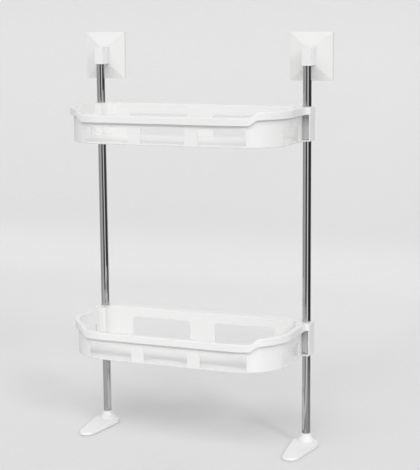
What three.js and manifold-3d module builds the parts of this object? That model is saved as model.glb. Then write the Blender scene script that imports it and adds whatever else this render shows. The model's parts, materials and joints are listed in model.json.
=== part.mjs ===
// A free-standing two-tier bathroom shelf that is held to the wall by a pair of adhesive plates.
// Two round steel poles carry two moulded trays at their rear corners. Each pole is three tubes
// that meet inside sleeves in the tray corners. A bracket on top of each pole reaches back to its
// wall plate, and a foot under each pole reaches forward. Millimetres, Z up, Y towards the wall.
import * as THREE from "three";
import { mergeVertices } from "three/addons/utils/BufferGeometryUtils.js";
import { ConvexGeometry } from "three/addons/geometries/ConvexGeometry.js";
import Module from "manifold-3d";

const wasm = await Module();
wasm.setup();

// Poles
const poleSpacing = 370;
const poleDiameter = 14;
const poleWall = 0.8;

// Heights above the floor
const lowerRimHeight = 212;
const trayPitch = 353;
const bracketHeight = 630;

// Tray body, with its back wall a little in front of the pole axes
const trayHeight = 55;
const trayWall = 2.2;
const trayFloor = 2.2;
const innerRounding = 3;
const rearInnerRounding = 15;
const backWallLead = 3.1;

// Tray rim: a flange with a turned-down skirt, lowered along the front
const frontReach = 163;
const sideReach = 5;
const cornerRadius = 80;
const rimOverhang = 5.2;
const rimDepth = 12;
const rimThickness = 2.6;
const skirtThickness = 2;
const frontDrop = 8.5;
const frontRailLength = 280;
const jogRun = 17;

// Windows in the tray walls, with their tops given below the rim
const windowRounding = 3;
const windowTop = 28;
const windowMargin = 2.5;
const frontWindowWidth = 76;
const frontPostWidth = 22;
const sideWindowRear = 37;
const sideWindowLength = 70;
const backWindowTop = 16.5;
const backPostWidth = 46;
const backWindowMargin = 43.4;

// Pole pockets at the rear corners of a tray, open towards the front of the outer side
const pocketFront = 24;
const earFront = 17;
const earRounding = 5;
const pocketRounding = 1;

// Sleeves that join the pole tubes inside the pockets
const sleeveWall = 1.4;
const sleeveTaper = 0.5;
const sleeveStopHeight = 3;
const sleeveStopLip = 2;

// Feet
const footCollarHeight = 19;
const footCollarWall = 1.6;
const footCollarFlare = 7.5;
const footHeelRadius = 23;
const footHeelLead = 6;
const footHeelHeight = 8;
const footToeRadius = 14;
const footToeReach = 93;
const footToeHeight = 5.5;
const footSole = 4;
const footGripThickness = 2;
const footGripRecess = 1;
const footGripMargin = 4;

// Wall brackets
const wallDistance = 27;
const plateWidth = 72;
const plateHeight = 78;
const plateEdge = 3.4;
const plateRise = 6.8;
const plateFlatWidth = 24;
const plateFlatHeight = 37;
const armHeight = 28.5;
const armWall = 1;
const armRoof = 5;
const armRounding = 1.5;
const adhesiveThickness = 1;
const adhesiveMargin = 3;
const adhesiveRounding = 4;
const screwShankDiameter = 4;
const screwHeadDiameter = 8;
const screwHeadDepth = 2.2;
const screwBite = 4.5;

// Clearances
const poleClearance = 0.2;
const poleHoleClearance = 0.3;
const sleeveClearance = 0.3;
const screwClearance = 0.2;
const seatGap = 0.3;

// Facets
const roundFacets = 32;
const cornerFacets = 14;
const roundingFacets = 4;
const flareFacets = 6;
const footFacets = 20;

// Sizes that follow from the ones above
const poleX = poleSpacing / 2;
const poleRadius = poleDiameter / 2;
const boreRadius = poleRadius + poleClearance;
const sleeveTopRadius = boreRadius + sleeveWall;
const sleeveBottomRadius = sleeveTopRadius + sleeveTaper;
const pocketHalf = sleeveBottomRadius + sleeveClearance;
const earReach = poleX + pocketHalf + trayWall;
const trayRear = pocketHalf + trayWall;
const pocketInner = poleX - pocketHalf - trayWall;
const backFace = -backWallLead;
const backOuter = backFace + trayWall;
const floorTop = -trayHeight + trayFloor;
const rimSide = poleX + sideReach;
const cornerStart = rimSide - cornerRadius;
const upperRimHeight = lowerRimHeight + trayPitch;
const sleeveBottom = floorTop + seatGap;
const sleeveTop = -rimThickness - seatGap;
const stopMiddle = (sleeveBottom + sleeveTop) / 2;
const stopTop = stopMiddle + sleeveStopHeight / 2;
const stopBottom = stopMiddle - sleeveStopHeight / 2;
const footUnderside = footGripThickness - footGripRecess;
const footCollarRadius = boreRadius + footCollarWall;
const armNose = boreRadius + armWall;
const plateBack = wallDistance - adhesiveThickness - seatGap;
const plateFace = plateBack - plateEdge - plateRise;
const armRear = plateFace - seatGap;
const plateMiddle = bracketHeight + armHeight / 2;
const screwTip = armRear - screwBite;
const screwHeadBack = plateBack - seatGap;
const screwHeadFront = screwHeadBack - screwHeadDepth;
const quarter = Math.PI / 2;

// How far a cut runs past the material it goes through
const past = 1;

const whitePlastic = { color: 0xf1f1ef, roughness: 0.22, metalness: 0 };
const polishedSteel = { color: 0xb9bbbd, roughness: 0.14, metalness: 1 };
const foamTape = { color: 0xdedcd6, roughness: 0.9, metalness: 0 };
const gripRubber = { color: 0xc9c9c6, roughness: 0.8, metalness: 0 };
const zincSteel = { color: 0xa7a9ac, roughness: 0.35, metalness: 1 };

// A closed geometry as a solid that can be joined and cut.
function solidOf(geometry) {
  const bare = geometry.clone();
  bare.deleteAttribute("normal");
  bare.deleteAttribute("uv");
  const merged = mergeVertices(bare);
  const vertProperties = new Float32Array(merged.getAttribute("position").array);
  const triVerts = new Uint32Array(merged.index.array);
  return new wasm.Manifold(new wasm.Mesh({ numProp: 3, vertProperties, triVerts }));
}

// A solid as a geometry that a mesh can show.
function geometryOf(solid) {
  const { vertProperties, triVerts } = solid.getMesh();
  const geometry = new THREE.BufferGeometry();
  geometry.setAttribute("position", new THREE.BufferAttribute(vertProperties, 3));
  geometry.setIndex(new THREE.BufferAttribute(triVerts, 1));
  geometry.computeVertexNormals();
  return geometry;
}

function extruded(shape, depth) {
  return new THREE.ExtrudeGeometry(shape, { depth, bevelEnabled: false });
}

// A plan outline in X and Y, raised from low to high.
function prism(shape, low, high) {
  return solidOf(extruded(shape, high - low).translate(0, 0, low));
}

// A front outline in X and Z, carried from front to rear along Y.
function prismAlongY(shape, front, rear) {
  return solidOf(extruded(shape, rear - front).rotateX(Math.PI / 2).translate(0, rear, 0));
}

// A side outline in Y and Z, carried along X.
function prismAlongX(shape, from, to) {
  const alongX = new THREE.Matrix4().makeBasis(
    new THREE.Vector3(0, 1, 0),
    new THREE.Vector3(0, 0, 1),
    new THREE.Vector3(1, 0, 0),
  );
  return solidOf(extruded(shape, to - from).applyMatrix4(alongX).translate(from, 0, 0));
}

// A profile of radius and height pairs, turned about Y.
function turnedAboutY(profile) {
  const points = profile.map(([radius, height]) => new THREE.Vector2(radius, height));
  return new THREE.LatheGeometry(points, roundFacets);
}

// The same, turned about Z.
function turned(profile) {
  return turnedAboutY(profile).rotateX(Math.PI / 2);
}

function rod(radius, low, high) {
  return solidOf(turned([[0, low], [radius, low], [radius, high], [0, high]]));
}

function polygon(points) {
  return new THREE.Shape(points.map(([x, y]) => new THREE.Vector2(x, y)));
}

// The points of an arc, both ends among them.
function arc(x, y, radius, from, to, facets) {
  const points = [];
  for (let i = 0; i <= facets; i += 1) {
    const angle = from + ((to - from) * i) / facets;
    points.push([x + radius * Math.cos(angle), y + radius * Math.sin(angle)]);
  }
  return points;
}

// An outline that is the same on both sides, from the points of its right half.
function mirroredPolygon(rightHalf) {
  const leftHalf = rightHalf.map(([x, y]) => [-x, y]).reverse();
  return polygon([...rightHalf, ...leftHalf]);
}

function roundedRectangle(left, low, right, high, radius) {
  return polygon([
    ...arc(right - radius, low + radius, radius, -quarter, 0, roundingFacets),
    ...arc(right - radius, high - radius, radius, 0, quarter, roundingFacets),
    ...arc(left + radius, high - radius, radius, quarter, 2 * quarter, roundingFacets),
    ...arc(left + radius, low + radius, radius, 2 * quarter, 3 * quarter, roundingFacets),
  ]);
}

// A window in a wall: square at the floor, with its upper corners rounded.
function windowOutline(left, low, right, high) {
  const r = windowRounding;
  return polygon([
    [left, low],
    [right, low],
    ...arc(right - r, high - r, r, 0, quarter, roundingFacets),
    ...arc(left + r, high - r, r, quarter, 2 * quarter, roundingFacets),
  ]);
}

// The tray seen from above: rounded front corners, and an ear round each pole at the rear.
// The front and sides are drawn in by one inset, the ears and the rear by the other.
function trayOutline(sideInset, earInset) {
  const side = rimSide - sideInset;
  const radius = cornerRadius - sideInset;
  const cornerY = -frontReach + cornerRadius;
  const ear = earReach - earInset;
  const rear = trayRear - earInset;
  const round = earRounding - earInset;
  const flare = [];
  for (let i = 0; i <= flareFacets; i += 1) {
    const run = i / flareFacets;
    const widening = run * run * (3 - 2 * run);
    flare.push([
      side + (ear - side) * widening,
      -pocketFront + (pocketFront - earFront) * run,
    ]);
  }
  return mirroredPolygon([
    ...arc(cornerStart, cornerY, radius, -quarter, 0, cornerFacets),
    ...flare,
    ...arc(ear - round, rear - round, round, 0, quarter, roundingFacets),
  ]);
}

// The tray's inside seen from above, stepped in round the pole pockets.
function cavityOutline() {
  const inset = rimOverhang + trayWall;
  const side = rimSide - inset;
  const cornerY = -frontReach + cornerRadius;
  const stepFront = -pocketFront - trayWall;
  const r = innerRounding;
  const rearR = rearInnerRounding;
  return mirroredPolygon([
    ...arc(cornerStart, cornerY, cornerRadius - inset, -quarter, 0, cornerFacets),
    ...arc(side - r, stepFront - r, r, 0, quarter, roundingFacets),
    ...arc(pocketInner + r, stepFront + r, r, -quarter, -2 * quarter, roundingFacets),
    ...arc(pocketInner - rearR, backFace - rearR, rearR, 0, quarter, 2 * roundingFacets),
  ]);
}

// All the room below the rim's top line, which steps down along the front, moved down by a depth.
function roomBelowRim(depth) {
  const wide = earReach + past;
  const low = -trayHeight - past;
  const split = -frontReach + cornerRadius / 2;
  const jogInner = frontRailLength / 2;
  const jogOuter = jogInner + jogRun;
  const front = polygon([
    [-wide, low],
    [wide, low],
    [wide, -depth],
    [jogOuter, -depth],
    [jogInner, -depth - frontDrop],
    [-jogInner, -depth - frontDrop],
    [-jogOuter, -depth],
    [-wide, -depth],
  ]);
  const rear = polygon([[-wide, low], [wide, low], [wide, -depth], [-wide, -depth]]);
  const frontRoom = prismAlongY(front, -frontReach - past, split);
  return frontRoom.add(prismAlongY(rear, split - past, trayRear + past));
}

// Cuts for the windows. Those near the front corners run in far enough to pass the curving wall.
function trayWindows() {
  const centreEnd = frontWindowWidth / 2;
  const sideStart = centreEnd + frontPostWidth;
  const sideEnd = frontRailLength / 2 - windowMargin;
  const backStart = backPostWidth / 2;
  const backEnd = pocketInner - backWindowMargin;
  const curveDepth = cornerRadius / 4;
  const frontRear = -frontReach + curveDepth;
  const sideOuter = rimSide - rimOverhang;
  const sideFront = -sideWindowRear - sideWindowLength;
  const frontWindow = (left, right) =>
    prismAlongY(windowOutline(left, floorTop, right, -windowTop), -frontReach, frontRear);
  const backWindow = (left, right) =>
    prismAlongY(
      windowOutline(left, floorTop, right, -backWindowTop),
      backFace - past,
      backOuter + past,
    );
  const sideWindow = (inner, outer) =>
    prismAlongX(
      windowOutline(sideFront, floorTop, -sideWindowRear, -windowTop),
      inner,
      outer,
    );
  return [
    frontWindow(-centreEnd, centreEnd),
    frontWindow(sideStart, sideEnd),
    frontWindow(-sideEnd, -sideStart),
    backWindow(backStart, backEnd),
    backWindow(-backEnd, -backStart),
    sideWindow(sideOuter - curveDepth, sideOuter + past),
    sideWindow(-sideOuter - past, -sideOuter + curveDepth),
  ];
}

// One tray, with its rim at height zero and the pole axes at Y zero.
function trayGeometry() {
  const cavity = cavityOutline();
  const rimPlan = prism(trayOutline(0, 0), -trayHeight, past).subtract(
    prism(cavity, -trayHeight - past, 2 * past),
  );
  const skirtInside = trayOutline(skirtThickness, skirtThickness);
  const skirtPlan = rimPlan.subtract(prism(skirtInside, -trayHeight - past, 2 * past));
  const flange = rimPlan.intersect(roomBelowRim(0)).subtract(roomBelowRim(rimThickness));
  const skirt = skirtPlan.intersect(roomBelowRim(0)).subtract(roomBelowRim(rimDepth));
  let body = prism(trayOutline(rimOverhang, 0), -trayHeight, past)
    .intersect(roomBelowRim(0))
    .subtract(prism(cavity, floorTop, 2 * past));
  const behindWall = polygon([
    [-pocketInner, backOuter],
    [pocketInner, backOuter],
    [pocketInner, trayRear + past],
    [-pocketInner, trayRear + past],
  ]);
  body = body.subtract(prism(behindWall, -trayHeight - past, -rimThickness));
  for (const side of [-1, 1]) {
    const pocket = roundedRectangle(
      side * poleX - pocketHalf,
      -pocketFront,
      side * poleX + pocketHalf,
      pocketHalf,
      pocketRounding,
    );
    body = body.subtract(prism(pocket, floorTop, -rimThickness));
  }
  body = body.add(flange).add(skirt);
  for (const side of [-1, 1]) {
    const hole = rod(poleRadius + poleHoleClearance, -trayHeight - past, past);
    body = body.subtract(hole.translate([side * poleX, 0, 0]));
  }
  for (const window of trayWindows()) {
    body = body.subtract(window);
  }
  return geometryOf(body);
}

// A tapered sleeve with a bore from each end and a stop ring between them.
function sleeveGeometry() {
  const stopRadius = boreRadius - sleeveStopLip;
  return turned([
    [boreRadius, sleeveBottom],
    [sleeveBottomRadius, sleeveBottom],
    [sleeveTopRadius, sleeveTop],
    [boreRadius, sleeveTop],
    [boreRadius, stopTop],
    [stopRadius, stopTop],
    [stopRadius, stopBottom],
    [boreRadius, stopBottom],
    [boreRadius, sleeveBottom],
  ]);
}

function poleGeometry(low, high) {
  const inner = poleRadius - poleWall;
  return turned([
    [inner, low],
    [poleRadius, low],
    [poleRadius, high],
    [inner, high],
    [inner, low],
  ]);
}

// A foot seen from above: a round heel with its middle a little in front of the pole, narrowing to a
// round toe.
function footOutline(inset) {
  const heel = footHeelRadius - inset;
  const toe = footToeRadius - inset;
  const heelY = -footHeelLead;
  const toeY = -footToeReach + footToeRadius;
  const lean = Math.asin((heel - toe) / (heelY - toeY));
  return polygon([
    ...arc(0, heelY, heel, -lean, 2 * quarter + lean, footFacets),
    ...arc(0, toeY, toe, 2 * quarter + lean, 4 * quarter - lean, footFacets),
  ]);
}

function footGeometry() {
  const heelEnd = footHeelRadius - footHeelLead + past;
  const toeEnd = -footToeReach;
  const wedge = polygon([
    [toeEnd, footUnderside],
    [heelEnd, footUnderside],
    [heelEnd, footHeelHeight],
    [-footCollarRadius, footHeelHeight],
    [toeEnd, footToeHeight],
  ]);
  const wide = footHeelRadius + past;
  const body = prism(footOutline(0), footUnderside, footHeelHeight).intersect(
    prismAlongX(wedge, -wide, wide),
  );
  const collarBase = footHeelHeight - past;
  const collar = [[0, collarBase], [footCollarRadius + footCollarFlare, collarBase]];
  for (let i = 0; i <= flareFacets; i += 1) {
    const rise = i / flareFacets;
    collar.push([
      footCollarRadius + footCollarFlare * (1 - rise) ** 2,
      footHeelHeight + (footCollarHeight - footHeelHeight) * rise,
    ]);
  }
  collar.push([0, footCollarHeight]);
  const recess = prism(
    footOutline(footGripMargin - seatGap),
    footUnderside - past,
    footUnderside + footGripRecess,
  );
  const foot = body
    .add(solidOf(turned(collar)))
    .subtract(rod(boreRadius, footSole, footCollarHeight + past))
    .subtract(recess);
  return geometryOf(foot);
}

function footGripGeometry() {
  return geometryOf(prism(footOutline(footGripMargin), 0, footGripThickness - seatGap));
}

// The countersunk screw that holds an arm to its plate, put in from the wall side.
function screwGeometry() {
  const shank = screwShankDiameter / 2;
  const head = screwHeadDiameter / 2;
  return turnedAboutY([
    [0, screwTip],
    [shank, screwTip],
    [shank, screwHeadFront],
    [head, screwHeadBack],
    [0, screwHeadBack],
  ]);
}

// The hole for that screw through the plate and into the arm.
function screwHole() {
  const shank = screwShankDiameter / 2 + screwClearance;
  const head = screwHeadDiameter / 2 + screwClearance;
  const profile = [
    [0, screwTip - seatGap],
    [shank, screwTip - seatGap],
    [shank, screwHeadFront],
    [head, screwHeadBack],
    [head, plateBack + past],
    [0, plateBack + past],
  ];
  return solidOf(turnedAboutY(profile));
}

// A wall plate with a thin edge and four sloping facets that rise to a flat in the middle.
function plateGeometry() {
  const corners = (width, height, y) =>
    [[-1, -1], [1, -1], [1, 1], [-1, 1]].map(
      ([x, z]) => new THREE.Vector3((x * width) / 2, y, (z * height) / 2),
    );
  const points = [
    ...corners(plateWidth, plateHeight, plateBack),
    ...corners(plateWidth, plateHeight, plateBack - plateEdge),
    ...corners(plateFlatWidth, plateFlatHeight, plateFace),
  ];
  return geometryOf(solidOf(new ConvexGeometry(points)).subtract(screwHole()));
}

function adhesiveGeometry() {
  const halfWidth = plateWidth / 2 - adhesiveMargin;
  const halfHeight = plateHeight / 2 - adhesiveMargin;
  const shape = roundedRectangle(-halfWidth, -halfHeight, halfWidth, halfHeight, adhesiveRounding);
  return geometryOf(prismAlongY(shape, wallDistance - adhesiveThickness, wallDistance));
}

// A block that sits over the top of a pole and reaches back to the plate.
function armGeometry() {
  const low = -armHeight / 2;
  const high = armHeight / 2;
  const plan = roundedRectangle(-armNose, -armNose, armNose, armRear, armRounding);
  const arm = prism(plan, low, high)
    .subtract(rod(boreRadius, low - past, high - armRoof))
    .subtract(screwHole());
  return geometryOf(arm);
}

function piece(name, geometry, look) {
  const mesh = new THREE.Mesh(geometry, new THREE.MeshStandardMaterial(look));
  mesh.name = name;
  return mesh;
}

const shelf = new THREE.Group();
// The origin is on the floor under the middle of the whole object.
shelf.position.y = (frontReach - wallDistance) / 2;

const tray = trayGeometry();
const sleeve = sleeveGeometry();
for (const [level, rimHeight] of [["lower", lowerRimHeight], ["upper", upperRimHeight]]) {
  const tier = new THREE.Group();
  tier.position.z = rimHeight;
  tier.add(piece(`${level}_tray`, tray, whitePlastic));
  for (const [side, x] of [["left", -poleX], ["right", poleX]]) {
    const joiner = piece(`${level}_${side}_sleeve`, sleeve, whitePlastic);
    joiner.position.x = x;
    tier.add(joiner);
  }
  shelf.add(tier);
}

const poleSpans = {
  bottom: [footSole + seatGap, lowerRimHeight + stopBottom - seatGap],
  middle: [lowerRimHeight + stopTop + seatGap, upperRimHeight + stopBottom - seatGap],
  top: [upperRimHeight + stopTop + seatGap, bracketHeight + armHeight - armRoof - seatGap],
};
const foot = footGeometry();
const footGrip = footGripGeometry();
const plate = plateGeometry();
const adhesive = adhesiveGeometry();
const arm = armGeometry();
const screw = screwGeometry();
for (const [side, x] of [["left", -poleX], ["right", poleX]]) {
  const column = new THREE.Group();
  column.position.x = x;
  for (const [place, [low, high]] of Object.entries(poleSpans)) {
    column.add(piece(`${side}_${place}_pole`, poleGeometry(low, high), polishedSteel));
  }
  column.add(piece(`${side}_foot`, foot, whitePlastic));
  column.add(piece(`${side}_foot_grip`, footGrip, gripRubber));
  const bracket = new THREE.Group();
  bracket.position.z = plateMiddle;
  bracket.add(piece(`${side}_bracket_arm`, arm, whitePlastic));
  bracket.add(piece(`${side}_wall_plate`, plate, whitePlastic));
  bracket.add(piece(`${side}_adhesive_tape`, adhesive, foamTape));
  bracket.add(piece(`${side}_bracket_screw`, screw, zincSteel));
  column.add(bracket);
  shelf.add(column);
}

export default shelf;
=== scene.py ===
# %% [markdown]
# # A bathroom shelf on two steel poles
# The shelf stands on two feet that reach forward and is held upright by two adhesive plates on the wall.
# Two moulded trays hang between two polished poles. In this lesson each piece is modelled by hand with
# the usual edit mode tools, and then gets a finish of its own.
# The first step loads the engineering model. It says where each piece is, and how large it is.

# %% Load the frame
import json
import math

import bmesh
import bpy
from mathutils import Matrix, Vector

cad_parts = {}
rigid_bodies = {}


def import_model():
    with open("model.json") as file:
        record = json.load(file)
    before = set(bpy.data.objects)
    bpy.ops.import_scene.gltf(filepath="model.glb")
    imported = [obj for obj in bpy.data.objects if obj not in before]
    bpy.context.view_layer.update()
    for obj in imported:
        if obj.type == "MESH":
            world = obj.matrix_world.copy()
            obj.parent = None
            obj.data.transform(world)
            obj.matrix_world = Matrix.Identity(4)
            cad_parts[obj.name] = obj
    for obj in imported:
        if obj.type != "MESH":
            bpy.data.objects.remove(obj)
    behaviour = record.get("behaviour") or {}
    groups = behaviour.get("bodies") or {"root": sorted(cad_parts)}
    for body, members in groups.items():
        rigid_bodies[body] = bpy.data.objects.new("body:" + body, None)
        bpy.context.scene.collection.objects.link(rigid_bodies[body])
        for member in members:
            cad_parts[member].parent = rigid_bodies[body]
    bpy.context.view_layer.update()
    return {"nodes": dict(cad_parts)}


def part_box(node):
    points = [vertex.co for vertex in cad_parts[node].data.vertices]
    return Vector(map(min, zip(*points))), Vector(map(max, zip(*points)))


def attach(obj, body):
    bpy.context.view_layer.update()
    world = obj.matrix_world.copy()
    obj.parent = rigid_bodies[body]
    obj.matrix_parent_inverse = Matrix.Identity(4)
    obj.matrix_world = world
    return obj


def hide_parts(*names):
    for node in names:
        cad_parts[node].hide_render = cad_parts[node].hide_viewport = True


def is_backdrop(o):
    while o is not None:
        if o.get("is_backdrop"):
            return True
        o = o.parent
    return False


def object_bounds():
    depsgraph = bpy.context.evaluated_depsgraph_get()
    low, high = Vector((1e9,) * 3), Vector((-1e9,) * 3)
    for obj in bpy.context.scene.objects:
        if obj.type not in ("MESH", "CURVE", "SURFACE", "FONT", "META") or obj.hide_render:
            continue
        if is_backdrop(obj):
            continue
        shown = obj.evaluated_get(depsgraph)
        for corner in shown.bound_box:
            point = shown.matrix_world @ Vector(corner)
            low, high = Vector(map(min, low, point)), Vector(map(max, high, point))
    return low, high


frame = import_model()

# %% [markdown]
# ## Hand tools
# Every operator works on what is selected, so each step begins by selecting nothing. Then the vertices,
# edges or faces that it needs are picked by their place or by the way they face. These few helpers do
# just that, so that the later cells read like a list of moves at the bench.

# %% Helpers for picking and editing
MM = 0.001
CLOSE = 0.02 * MM


def fresh(name, add, **settings):
    """Adds a primitive with nothing else selected, opens it in edit mode and returns it."""
    bpy.ops.object.select_all(action="DESELECT")
    add(**settings)
    made = bpy.context.active_object
    made.name = name
    bpy.ops.object.mode_set(mode="EDIT")
    return made


def close_edit():
    bpy.ops.object.mode_set(mode="OBJECT")


def take(piece):
    """Selects one object alone, so that the next operator works on it."""
    bpy.ops.object.select_all(action="DESELECT")
    piece.select_set(True)
    bpy.context.view_layer.objects.active = piece


def open_edit(piece):
    take(piece)
    bpy.ops.object.mode_set(mode="EDIT")


def near(a, b):
    return abs(a - b) < CLOSE


def pick(kind, test):
    """Selects the vertices, edges or faces for which the test holds, and nothing else."""
    bpy.ops.mesh.select_mode(type=kind)
    bpy.ops.mesh.select_all(action="DESELECT")
    mesh = bmesh.from_edit_mesh(bpy.context.edit_object.data)
    parts = {"VERT": mesh.verts, "EDGE": mesh.edges, "FACE": mesh.faces}[kind]
    chosen = [part for part in parts if test(part)]
    for part in chosen:
        part.select_set(True)
    mesh.select_flush_mode()
    bmesh.update_edit_mesh(bpy.context.edit_object.data)
    return len(chosen)


def pick_all():
    bpy.ops.mesh.select_all(action="SELECT")


def move(x, y, z):
    bpy.ops.transform.translate(value=(x, y, z))


def scale_about(centre, x, y, z):
    bpy.ops.transform.resize(value=(x, y, z), center_override=centre)


def extrude(x, y, z):
    bpy.ops.mesh.extrude_region_move(TRANSFORM_OT_translate={"value": (x, y, z)})


def face_outwards():
    pick_all()
    bpy.ops.mesh.normals_make_consistent(inside=False)


print("one millimetre is", MM, "in the scene's metres")

# %% [markdown]
# ## Joining and cutting
# A moulded tray is easiest to think of as a block from which other blocks are taken away. The Boolean
# modifier does this. It is applied at once and the cutter is thrown away, so that each cell ends with
# one clean mesh. In a closed mesh every edge lies between two faces, so a count of all other edges tells
# whether a cut went well.

# %% Helpers for joining and cutting
def carve(piece, cutter, operation):
    """Joins the cutter to the piece or cuts it away, and removes the cutter."""
    take(piece)
    bpy.ops.object.modifier_add(type="BOOLEAN")
    step = piece.modifiers[-1]
    step.operation = operation
    step.solver = "EXACT"
    step.object = cutter
    bpy.ops.object.modifier_apply(modifier=step.name)
    bpy.data.objects.remove(cutter)


def loose_edges(piece):
    """How many edges of the mesh don't lie between exactly two faces."""
    mesh = bmesh.new()
    mesh.from_mesh(piece.data)
    count = sum(1 for edge in mesh.edges if len(edge.link_faces) != 2)
    mesh.free()
    return count


print("tools for cutting:", carve.__name__, "and", loose_edges.__name__)

# %% [markdown]
# ## The tray seen from above
# Both trays come from one mould, so one tray is modelled and copied. Its plan is a wide sheet with large
# round corners in front and a small ear round each pole at the rear. The plan is cut from a plane, much as
# a template is cut from card: lines across it, the waste thrown away, and each corner rounded with a
# vertex bevel. The rim, the body under it and the groove between them are three sizes of the same plan.
# The tray is drawn with its rim at height zero and the pole axes on the line Y = 0.

# %% The plan of the tray
RIM_SIDE = 190 * MM
RIM_FRONT = 163 * MM
CORNER = 80 * MM
CORNER_STEPS = 30
EAR_SIDE = 196.6 * MM
EAR_REAR = 11.6 * MM
EAR_ROUND = 5 * MM
EAR_FLARE = 2.9 * MM
POCKET_INNER = 173.4 * MM
BACK_OUTER = -0.9 * MM


def cut_line(x=None, y=None):
    pick_all()
    if x is not None:
        bpy.ops.mesh.bisect(plane_co=(x, 0, 0), plane_no=(1, 0, 0))
    else:
        bpy.ops.mesh.bisect(plane_co=(0, y, 0), plane_no=(0, 1, 0))


def throw_away(test):
    pick("FACE", lambda face: test(abs(face.calc_center_median().x), face.calc_center_median().y))
    bpy.ops.mesh.delete(type="FACE")


def round_corners(x, y, radius, segments):
    """Rounds the corner at this place and the one across from it."""
    pick("VERT", lambda point: near(abs(point.co.x), x) and near(point.co.y, y))
    bpy.ops.mesh.bevel(offset=radius, segments=segments, affect="VERTICES")


def sheet(name, half_width, front, rear):
    made = fresh(name, bpy.ops.mesh.primitive_plane_add, size=1)
    scale_about((0, 0, 0), 2 * half_width, rear - front, 1)
    move(0, (front + rear) / 2, 0)
    return made


def tray_plan(name, inset, ear_inset, wall_behind, step):
    """The tray's plan drawn in by an inset, with the space behind the back wall left out if asked."""
    side = RIM_SIDE - inset
    front = inset - RIM_FRONT
    ear = EAR_SIDE - ear_inset
    rear = EAR_REAR - ear_inset
    made = sheet(name, ear, front, rear)
    for x in (-side, side):
        cut_line(x=x)
    cut_line(y=step)
    throw_away(lambda x, y: x > side and y < step)
    if wall_behind:
        for x in (-POCKET_INNER, POCKET_INNER):
            cut_line(x=x)
        cut_line(y=BACK_OUTER)
        throw_away(lambda x, y: x < POCKET_INNER and y > BACK_OUTER)
    pick_all()
    bpy.ops.mesh.dissolve_limited(angle_limit=math.radians(1))
    round_corners(side, front, CORNER - inset, CORNER_STEPS)
    round_corners(side, step, EAR_FLARE, 4)
    round_corners(ear, step, EAR_FLARE, 4)
    round_corners(ear, rear, EAR_ROUND - ear_inset, 6)
    return made


print("plan of the rim:", 2 * RIM_SIDE / MM, "by", (RIM_FRONT + EAR_REAR) / MM, "mm")

# %% [markdown]
# ## The rim that steps down in front
# The rim runs round at one height and steps down along the front, so that things can be reached. On the
# flat sheet this is a matter of moving points: lines are cut where the step begins and ends, and what lies
# in front of them is moved down. Extruding the sheet afterwards gives a block that has the step both on its
# top and on its underside. The block's top edge is rounded here, while its outline is still simple.

# %% Block of the rim
EAR_STEP = -20.5 * MM
RAIL_HALF = 143.5 * MM
JOG_RUN = 11.5 * MM
FRONT_DROP = 8.5 * MM
RAIL_REAR = -130 * MM
RAMP_REAR = -123 * MM
RIM_DEPTH = 12 * MM
RIM_ROUND = 1.5 * MM


def step_front_down():
    """Moves the front of the sheet down: all the way along the rail, and by degrees beside it."""
    jog_end = RAIL_HALF + JOG_RUN
    for x in (-jog_end, -RAIL_HALF, RAIL_HALF, jog_end):
        cut_line(x=x)
    for y in (RAIL_REAR, RAMP_REAR):
        cut_line(y=y)
    mesh = bmesh.from_edit_mesh(bpy.context.edit_object.data)
    in_front = [point for point in mesh.verts if point.co.y < RAIL_REAR + CLOSE]
    columns = {round(abs(point.co.x), 6) for point in in_front if abs(point.co.x) < jog_end}
    for column in sorted(columns):
        share = min(1, (jog_end - column) / JOG_RUN)
        pick("VERT", lambda p: abs(abs(p.co.x) - column) < CLOSE / 10 and p.co.y < RAIL_REAR + CLOSE)
        move(0, 0, -FRONT_DROP * share)


def between(edge, first, second):
    """True where one face of the edge passes the first test and its other face the second."""
    if len(edge.link_faces) != 2:
        return False
    a, b = (face.normal for face in edge.link_faces)
    return (first(a) and second(b)) or (first(b) and second(a))


def looks_up(normal):
    return normal.z > 0.5


def looks_aside(normal):
    return abs(normal.z) < 0.4


def tray_block(name, inset, ear_inset, wall_behind, top, depth, step=EAR_STEP):
    """The plan with its front stepped down, set at its height and extruded downwards."""
    made = tray_plan(name, inset, ear_inset, wall_behind, step)
    step_front_down()
    pick_all()
    move(0, 0, top)
    extrude(0, 0, -depth)
    return made


rim = tray_block("rim", 0, 0, False, 0, RIM_DEPTH)
face_outwards()
rounded = pick("EDGE", lambda edge: between(edge, looks_up, looks_aside))
bpy.ops.mesh.bevel(offset=RIM_ROUND, segments=4, affect="EDGES")
close_edit()
print("rim block:", rounded, "top edges rounded,", loose_edges(rim), "open edges")

# %% [markdown]
# ## The body under the rim
# The body is the same plan, drawn in by the overhang of the rim. Its front is lowered in the same way, so
# that it stays inside the flange, but its underside is flat: the extruded points are scaled to nothing in
# height about the level of the underside. The outer bottom edge of a moulding is rounded, which shows as a
# thin shaded line along the bottom of the walls. A third block of that plan is taken out of the rim from
# below, so that the rim hangs down round the body as a thin skirt with a groove behind it.

# %% Block of the body, and the groove in the rim
OVERHANG = 5.2 * MM
TRAY_HEIGHT = 55 * MM
LEDGE = 0.8 * MM
BODY_TOP = -2 * MM
BODY_ROUND = 1.4 * MM
LID = -2.6 * MM
SKIRT = 2 * MM
GROOVE_STEP = EAR_STEP + 3 * MM


def looks_down(normal):
    return normal.z < -0.5


body = tray_block("tray_body", OVERHANG, LEDGE, True, BODY_TOP, TRAY_HEIGHT, EAR_STEP + LEDGE)
scale_about((0, 0, -TRAY_HEIGHT), 1, 1, 0)
face_outwards()
pick("EDGE", lambda edge: between(edge, looks_down, looks_aside))
bpy.ops.mesh.bevel(offset=BODY_ROUND, segments=4, affect="EDGES")
close_edit()

groove = tray_block("groove", SKIRT, SKIRT, False, LID, RIM_DEPTH, GROOVE_STEP)
face_outwards()
close_edit()
carve(rim, groove, "DIFFERENCE")
print("body:", len(body.data.polygons), "faces, rim:", len(rim.data.polygons), "faces")

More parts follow.
